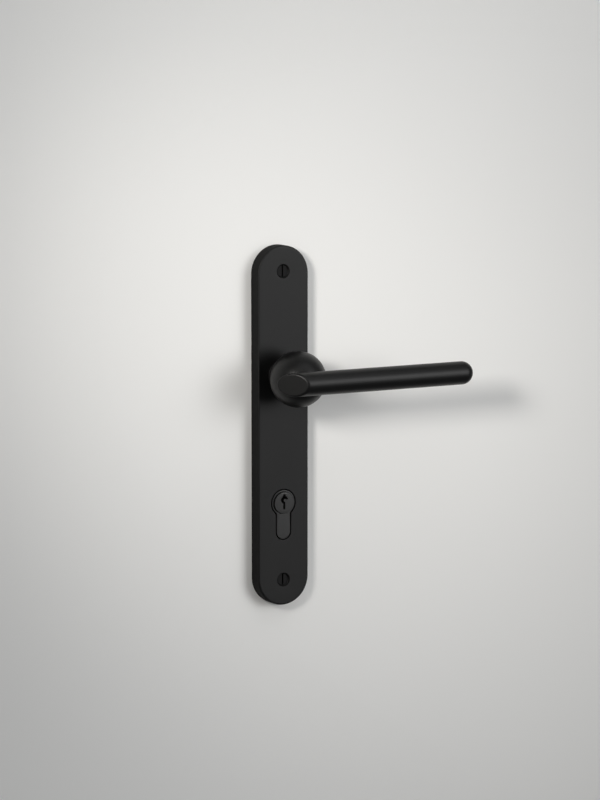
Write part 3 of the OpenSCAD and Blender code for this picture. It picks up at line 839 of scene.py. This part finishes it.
def make_case():
    """The lock case, open on one side, with holes for the spindle and the cylinder."""
    x0, z0, x1, z1 = case_lo[0], case_lo[2], case_hi[0], case_hi[2]
    y0, y1 = case_lo[1], case_hi[1]
    side_t, back_t = 2, 1.5
    bm = bmesh.new()
    outer = wall(bm, box_outline(x0, z0, x1, z1, 1.2),
                 [(0, y0), (0, y1 - 1.0), (-0.3, y1 - 0.3), (-1.0, y1)])
    inner = wall(bm, box_outline(x0 + side_t, z0 + side_t, x1 - side_t, z1 - side_t, 0.5),
                 [(0, y0), (0, y1 - back_t)])
    fill(bm, outer[0], inner[0])
    floor_in, floor_out = [inner[1]], [outer[-1]]
    for shape, g in ((euro(), 0.2), (circle(0, 0), 8.05), (circle(5, -58), 2.52)):
        hole = wall(bm, shape, [(g, y1 - back_t), (g, y1)])
        floor_in.append(hole[0])
        floor_out.append(hole[1])
    fill(bm, *floor_in)
    fill(bm, *floor_out)
    o = piece("case_body", bm, side_view, MAT["zinc_plate"], "lock_frame",
              "case")
    front_holes = [(*LATCH_OPENING, OPENING_HALF), (*BOLT_OPENING, OPENING_HALF),
                   (LEG_END - 3, LEG_END + 2, 2.6)]
    cutters = [cutter(straight, (x0 - 1, MID - w, lo), (x0 + 3, MID + w, hi))
               for lo, hi, w in front_holes]
    cutters.append(cutter(straight, (x1 - 3, MID - 2, 16), (x1 + 1, MID + 2, 20)))
    cut(o, *cutters)


def make_cover():
    """The sheet that closes the case, with its four countersunk screw holes."""
    x0, z0, x1, z1 = case_lo[0], case_lo[2], case_hi[0], case_hi[2]
    y0, y1 = cover_lo[1], cover_hi[1]
    bm = bmesh.new()
    outer = wall(bm, box_outline(x0, z0, x1, z1, 1.2), [(-0.5, y0), (-0.1, y0 + 0.15),
                                                        (0, y0 + 0.5), (0, y1)])
    front, back = [outer[0]], [outer[-1]]
    holes = [(euro(), [(0.2, y0), (0.2, y1)]), (circle(0, 0), [(8.05, y0), (8.05, y1)])]
    for x, z in ((-51, 39), (24, 39), (-40, -116), (24, -116)):
        holes.append((circle(x, z, 40), [(2.9, y0), (1.6, y0 + 1.3), (1.6, y1)]))
    for shape, steps in holes:
        hole = wall(bm, shape, steps)
        front.append(hole[0])
        back.append(hole[-1])
    fill(bm, *front)
    fill(bm, *back)
    piece("case_cover_sheet", bm, side_view, MAT["zinc_plate"], "lock_frame",
          "case_cover")


def latch_axis(p):
    """Local (across, up, into the lock), round the latch's axis, to the frame."""
    return Vector((p[2], MID + p[0], LATCH_Z + p[1])) * MM


def make_pressed_coil(name, node, body, r, turns):
    """A compression spring along its CAD node's length, round the latch's axis."""
    lo, hi = span(node)
    wire_r = 0.4
    x0, x1 = lo[0] + wire_r, hi[0] - wire_r
    o = make_coil(name, latch_axis, helix(r, x0, x1, 0, turns), wire_r, body, node)
    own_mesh(o)


make_forend()
make_edge_screws()
make_latch()
make_pressed_coil("latch_coil", "latch_spring", "yoke", 4.2, 6)
make_pressed_coil("yoke_coil", "yoke_spring", "lock_frame", 3.2, 7)
make_deadbolt()
make_case()
make_cover()


# ---------------------------------------------------------------- stage, light, camera
def plane(name, corners, material):
    """A four-cornered sheet for the stage."""
    me = bpy.data.meshes.new(name)
    me.from_pydata(corners, [], [(0, 1, 2, 3)])
    o = bpy.data.objects.new(name, me)
    scene.collection.objects.link(o)
    me.materials.append(material)
    return o


def stage_material(name, colour, one_sided, glow=0.0):
    """A matt paint. One-sided paint is clear from behind, and glow is its own light."""
    mat, nt, bsdf = new_material(name)
    drift = noise(nt, 3.0, (1, 1, 1), 2.0)
    lo = tuple(c * 0.985 for c in colour)
    nt.links.new(mixed(nt, ranged(nt, drift, 0, 1), lo, colour), bsdf.inputs["Base Color"])
    bsdf.inputs["Roughness"].default_value = 0.75
    bsdf.inputs["Emission Color"].default_value = (*colour, 1)
    bsdf.inputs["Emission Strength"].default_value = glow
    if one_sided:
        geo = nt.nodes.new("ShaderNodeNewGeometry")
        clear = nt.nodes.new("ShaderNodeBsdfTransparent")
        mix = nt.nodes.new("ShaderNodeMixShader")
        nt.links.new(geo.outputs["Backfacing"], mix.inputs["Fac"])
        nt.links.new(bsdf.outputs["BSDF"], mix.inputs[1])
        nt.links.new(clear.outputs["BSDF"], mix.inputs[2])
        nt.links.new(mix.outputs["Shader"], nt.nodes["Material Output"].inputs["Surface"])
    return mat


# The door is clear from behind, so that the lock shows in views from the inside.
# The floor glows to look pale in every view, and is hidden from the light on the object.
DOOR_HALF = 1.6
DOOR_Y = 0.0002
FLOOR_HALF = 40
FLOOR_Z = -2.2
wall_mat = stage_material("door_leaf", (0.90, 0.90, 0.885), True)
floor_mat = stage_material("floor", (0.80, 0.80, 0.79), False, 0.55)
plane("door_leaf", [(-DOOR_HALF, DOOR_Y, FLOOR_Z), (DOOR_HALF, DOOR_Y, FLOOR_Z),
                    (DOOR_HALF, DOOR_Y, DOOR_HALF), (-DOOR_HALF, DOOR_Y, DOOR_HALF)], wall_mat)
floor = plane("floor", [(-FLOOR_HALF, -FLOOR_HALF, FLOOR_Z), (FLOOR_HALF, -FLOOR_HALF, FLOOR_Z),
                        (FLOOR_HALF, FLOOR_HALF, FLOOR_Z), (-FLOOR_HALF, FLOOR_HALF, FLOOR_Z)],
              floor_mat)
floor.visible_diffuse = False
floor.visible_glossy = False


def softbox(name, where, target, size, power, spread, colour=(1, 1, 1)):
    """A rectangular lamp that points at target and isn't seen itself."""
    data = bpy.data.lights.new(name, "AREA")
    data.shape = "RECTANGLE"
    data.size, data.size_y = size
    data.energy = power
    data.spread = math.radians(spread)
    data.color = colour
    o = bpy.data.objects.new(name, data)
    scene.collection.objects.link(o)
    o.location = where
    o.rotation_mode = "QUATERNION"
    o.rotation_quaternion = (Vector(target) - Vector(where)).to_track_quat("-Z", "Y")
    o.visible_camera = False


softbox("key", (-0.60, -0.5625, 0.27), (0.12, 0, 0), (0.16, 0.16), 0.25, 40,
        (1.0, 0.97, 0.93))
softbox("right", (0.5, -0.775, 0.235), (0, 0, 0.05), (0.75, 1.3), 1.28, 50)
softbox("top", (0.1, -0.5, 0.7), (0, 0, 0.1), (0.9, 0.5), 1.36, 180)
softbox("rear", (-1.2, 1.9, 0.9), (0, 0.04, -0.03), (1.8, 1.8), 42.0, 180)

# The world lights the object dimly, and looks brighter to the camera than it is.
world = bpy.data.worlds.new("studio")
scene.world = world
world.use_nodes = True
sky = world.node_tree
dim = sky.nodes["Background"]
dim.inputs["Color"].default_value = (0.93, 0.94, 0.95, 1)
dim.inputs["Strength"].default_value = 0.13
bright = sky.nodes.new("ShaderNodeBackground")
bright.inputs["Color"].default_value = (0.62, 0.62, 0.61, 1)
rays = sky.nodes.new("ShaderNodeLightPath")
blend = sky.nodes.new("ShaderNodeMixShader")
sky.links.new(rays.outputs["Is Camera Ray"], blend.inputs["Fac"])
sky.links.new(dim.outputs["Background"], blend.inputs[1])
sky.links.new(bright.outputs["Background"], blend.inputs[2])
sky.links.new(blend.outputs["Shader"], sky.nodes["World Output"].inputs["Surface"])

scene.view_settings.view_transform = "Standard"
scene.view_settings.look = "None"

cam_data = bpy.data.cameras.new("camera")
cam_data.sensor_fit = "AUTO"
cam_data.sensor_width = 36.0
cam_data.lens = 137.478
cam = bpy.data.objects.new("camera", cam_data)
scene.collection.objects.link(cam)
cam.location = (-0.94265, -1.76713, 0.26859)
az, pitch = math.radians(28.5275), math.radians(8.1284)
look = Vector((math.sin(az) * math.cos(pitch), math.cos(az) * math.cos(pitch),
               -math.sin(pitch)))
cam.rotation_mode = "QUATERNION"
cam.rotation_quaternion = look.to_track_quat("-Z", "Y")
cam_data.clip_start, cam_data.clip_end = 0.05, 60.0
scene.camera = cam
